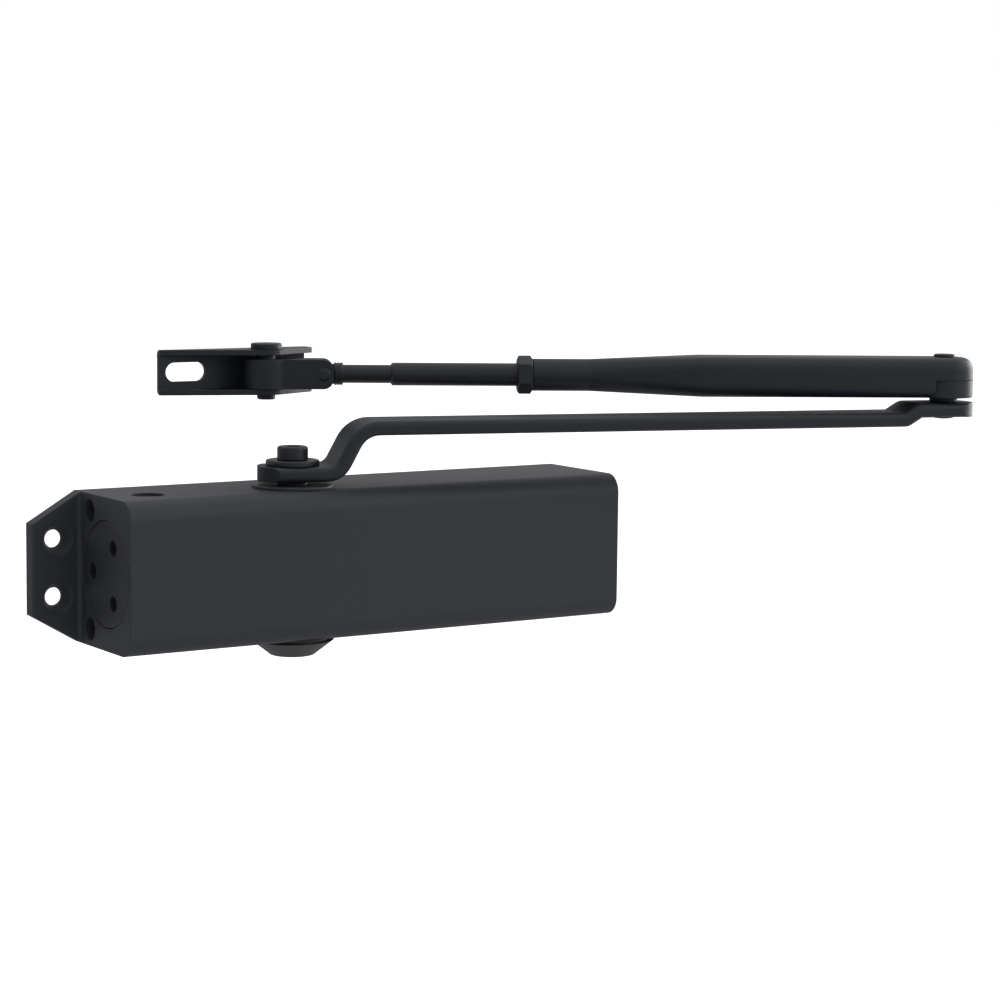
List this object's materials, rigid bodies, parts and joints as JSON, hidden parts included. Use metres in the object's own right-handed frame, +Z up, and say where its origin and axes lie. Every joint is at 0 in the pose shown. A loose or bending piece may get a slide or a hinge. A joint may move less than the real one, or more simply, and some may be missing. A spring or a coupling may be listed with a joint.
{
  "type": "door closer",
  "caption": "Surface-mounted rack and pinion door closer with a regular double-lever arm, an adjustable forearm rod and a slotted fixing shoe.",
  "frame": {"origin": "on the mounting plane, at the centre of the body's bolt pattern", "axes": "+X along the body away from the valve end, +Y into the door behind the mounting plane, +Z up"},
  "size_m": [0.4155, 0.171, 0.1299],
  "materials": {
    "body_coat": "matte black powder coat on the casting",
    "arm_coat": "satin black powder coat on steel",
    "plug_coat": "satin black coat on machined steel",
    "cap_plastic": "moulded black plastic",
    "black_steel": "blackened steel",
    "machined_steel": "machined, oiled",
    "spring_steel": "dark drawn wire",
    "bearing_bronze": "machined",
    "seal_rubber": "moulded",
    "ring_iron": "ground"
  },
  "bodies": {
    "body": {"housing": "body_coat", "end_plug_left": "plug_coat", "end_plug_right": "plug_coat", "end_plug_seal_left": "seal_rubber", "end_plug_seal_right": "seal_rubber", "filler_plug": "black_steel", "bearing_nut_top": "plug_coat", "bearing_nut_bottom": "machined_steel", "spindle_bearing_top": "bearing_bronze", "spindle_bearing_bottom": "bearing_bronze", "spindle_seal_top": "seal_rubber", "spindle_seal_bottom": "seal_rubber", "spindle_cap": "cap_plastic", "closing_spring": "spring_steel"},
    "spindle": {"pinion_shaft": "black_steel", "main_arm": "arm_coat", "arm_washer": "black_steel", "arm_screw": "black_steel", "elbow_rivet": "black_steel"},
    "piston": {"piston": "machined_steel", "piston_ring_left": "ring_iron", "piston_ring_right": "ring_iron", "check_ball": "machined_steel", "check_ball_seat": "bearing_bronze"},
    "sweep_valve": {"sweep_valve": "black_steel", "sweep_valve_seal": "seal_rubber"},
    "latch_valve": {"latch_valve": "black_steel", "latch_valve_seal": "seal_rubber"},
    "forearm": {"forearm": "arm_coat", "elbow_knuckle": "arm_coat", "elbow_bush": "bearing_bronze"},
    "lock_nut": {"lock_nut": "arm_coat"},
    "rod": {"adjusting_rod": "black_steel"},
    "rod_end": {"rod_end": "arm_coat", "tilt_rivet": "black_steel"},
    "shoe": {"shoe": "arm_coat", "shoe_pin": "black_steel"}
  },
  "joints": [
    {"name": "spindle_turn", "type": "hinge", "parent": "body", "child": "spindle", "pos_m": [-0.0336, -0.0312, 0], "axis": [0, 0, 1], "range_deg": [0, 180]},
    {"name": "piston_slide", "type": "slide", "parent": "body", "child": "piston", "axis": [1, 0, 0], "range_m": [0, 0.02847], "deforming": ["closing_spring"]},
    {"name": "sweep_valve_turn", "type": "hinge", "parent": "body", "child": "sweep_valve", "pos_m": [-0.1176, -0.0151, 0.0247], "axis": [-1, 0, 0], "range_deg": [0, 720]},
    {"name": "latch_valve_turn", "type": "hinge", "parent": "body", "child": "latch_valve", "pos_m": [-0.1176, -0.0151, -0.0247], "axis": [-1, 0, 0], "range_deg": [0, 720]},
    {"name": "elbow_turn", "type": "hinge", "parent": "spindle", "child": "forearm", "pos_m": [0.25968, -0.11419, 0.076], "axis": [0, 0, 1], "range_deg": [-165, 12]},
    {"name": "lock_nut_turn", "type": "hinge", "parent": "forearm", "child": "lock_nut", "pos_m": [0.08914, -0.02427, 0.076], "axis": [-0.8846, 0.4664, 0], "range_deg": [0, 360]},
    {"name": "rod_slide", "type": "slide", "parent": "forearm", "child": "rod", "axis": [-0.8846, 0.4664, 0], "range_m": [-0.012, 0.03]},
    {"name": "rod_end_tilt", "type": "hinge", "parent": "rod", "child": "rod_end", "pos_m": [0.00908, 0.01794, 0.076], "axis": [0.4664, 0.8846, 0], "range_deg": [-4, 4]},
    {"name": "shoe_swivel", "type": "hinge", "parent": "rod_end", "child": "shoe", "pos_m": [-0.01365, 0.02992, 0.076], "axis": [0, 0, 1], "range_deg": [-20, 130]}
  ],
  "couplings": [
    {"joint": "piston_slide", "follows": "spindle_turn", "m_per_rad": 0.009}
  ]
}
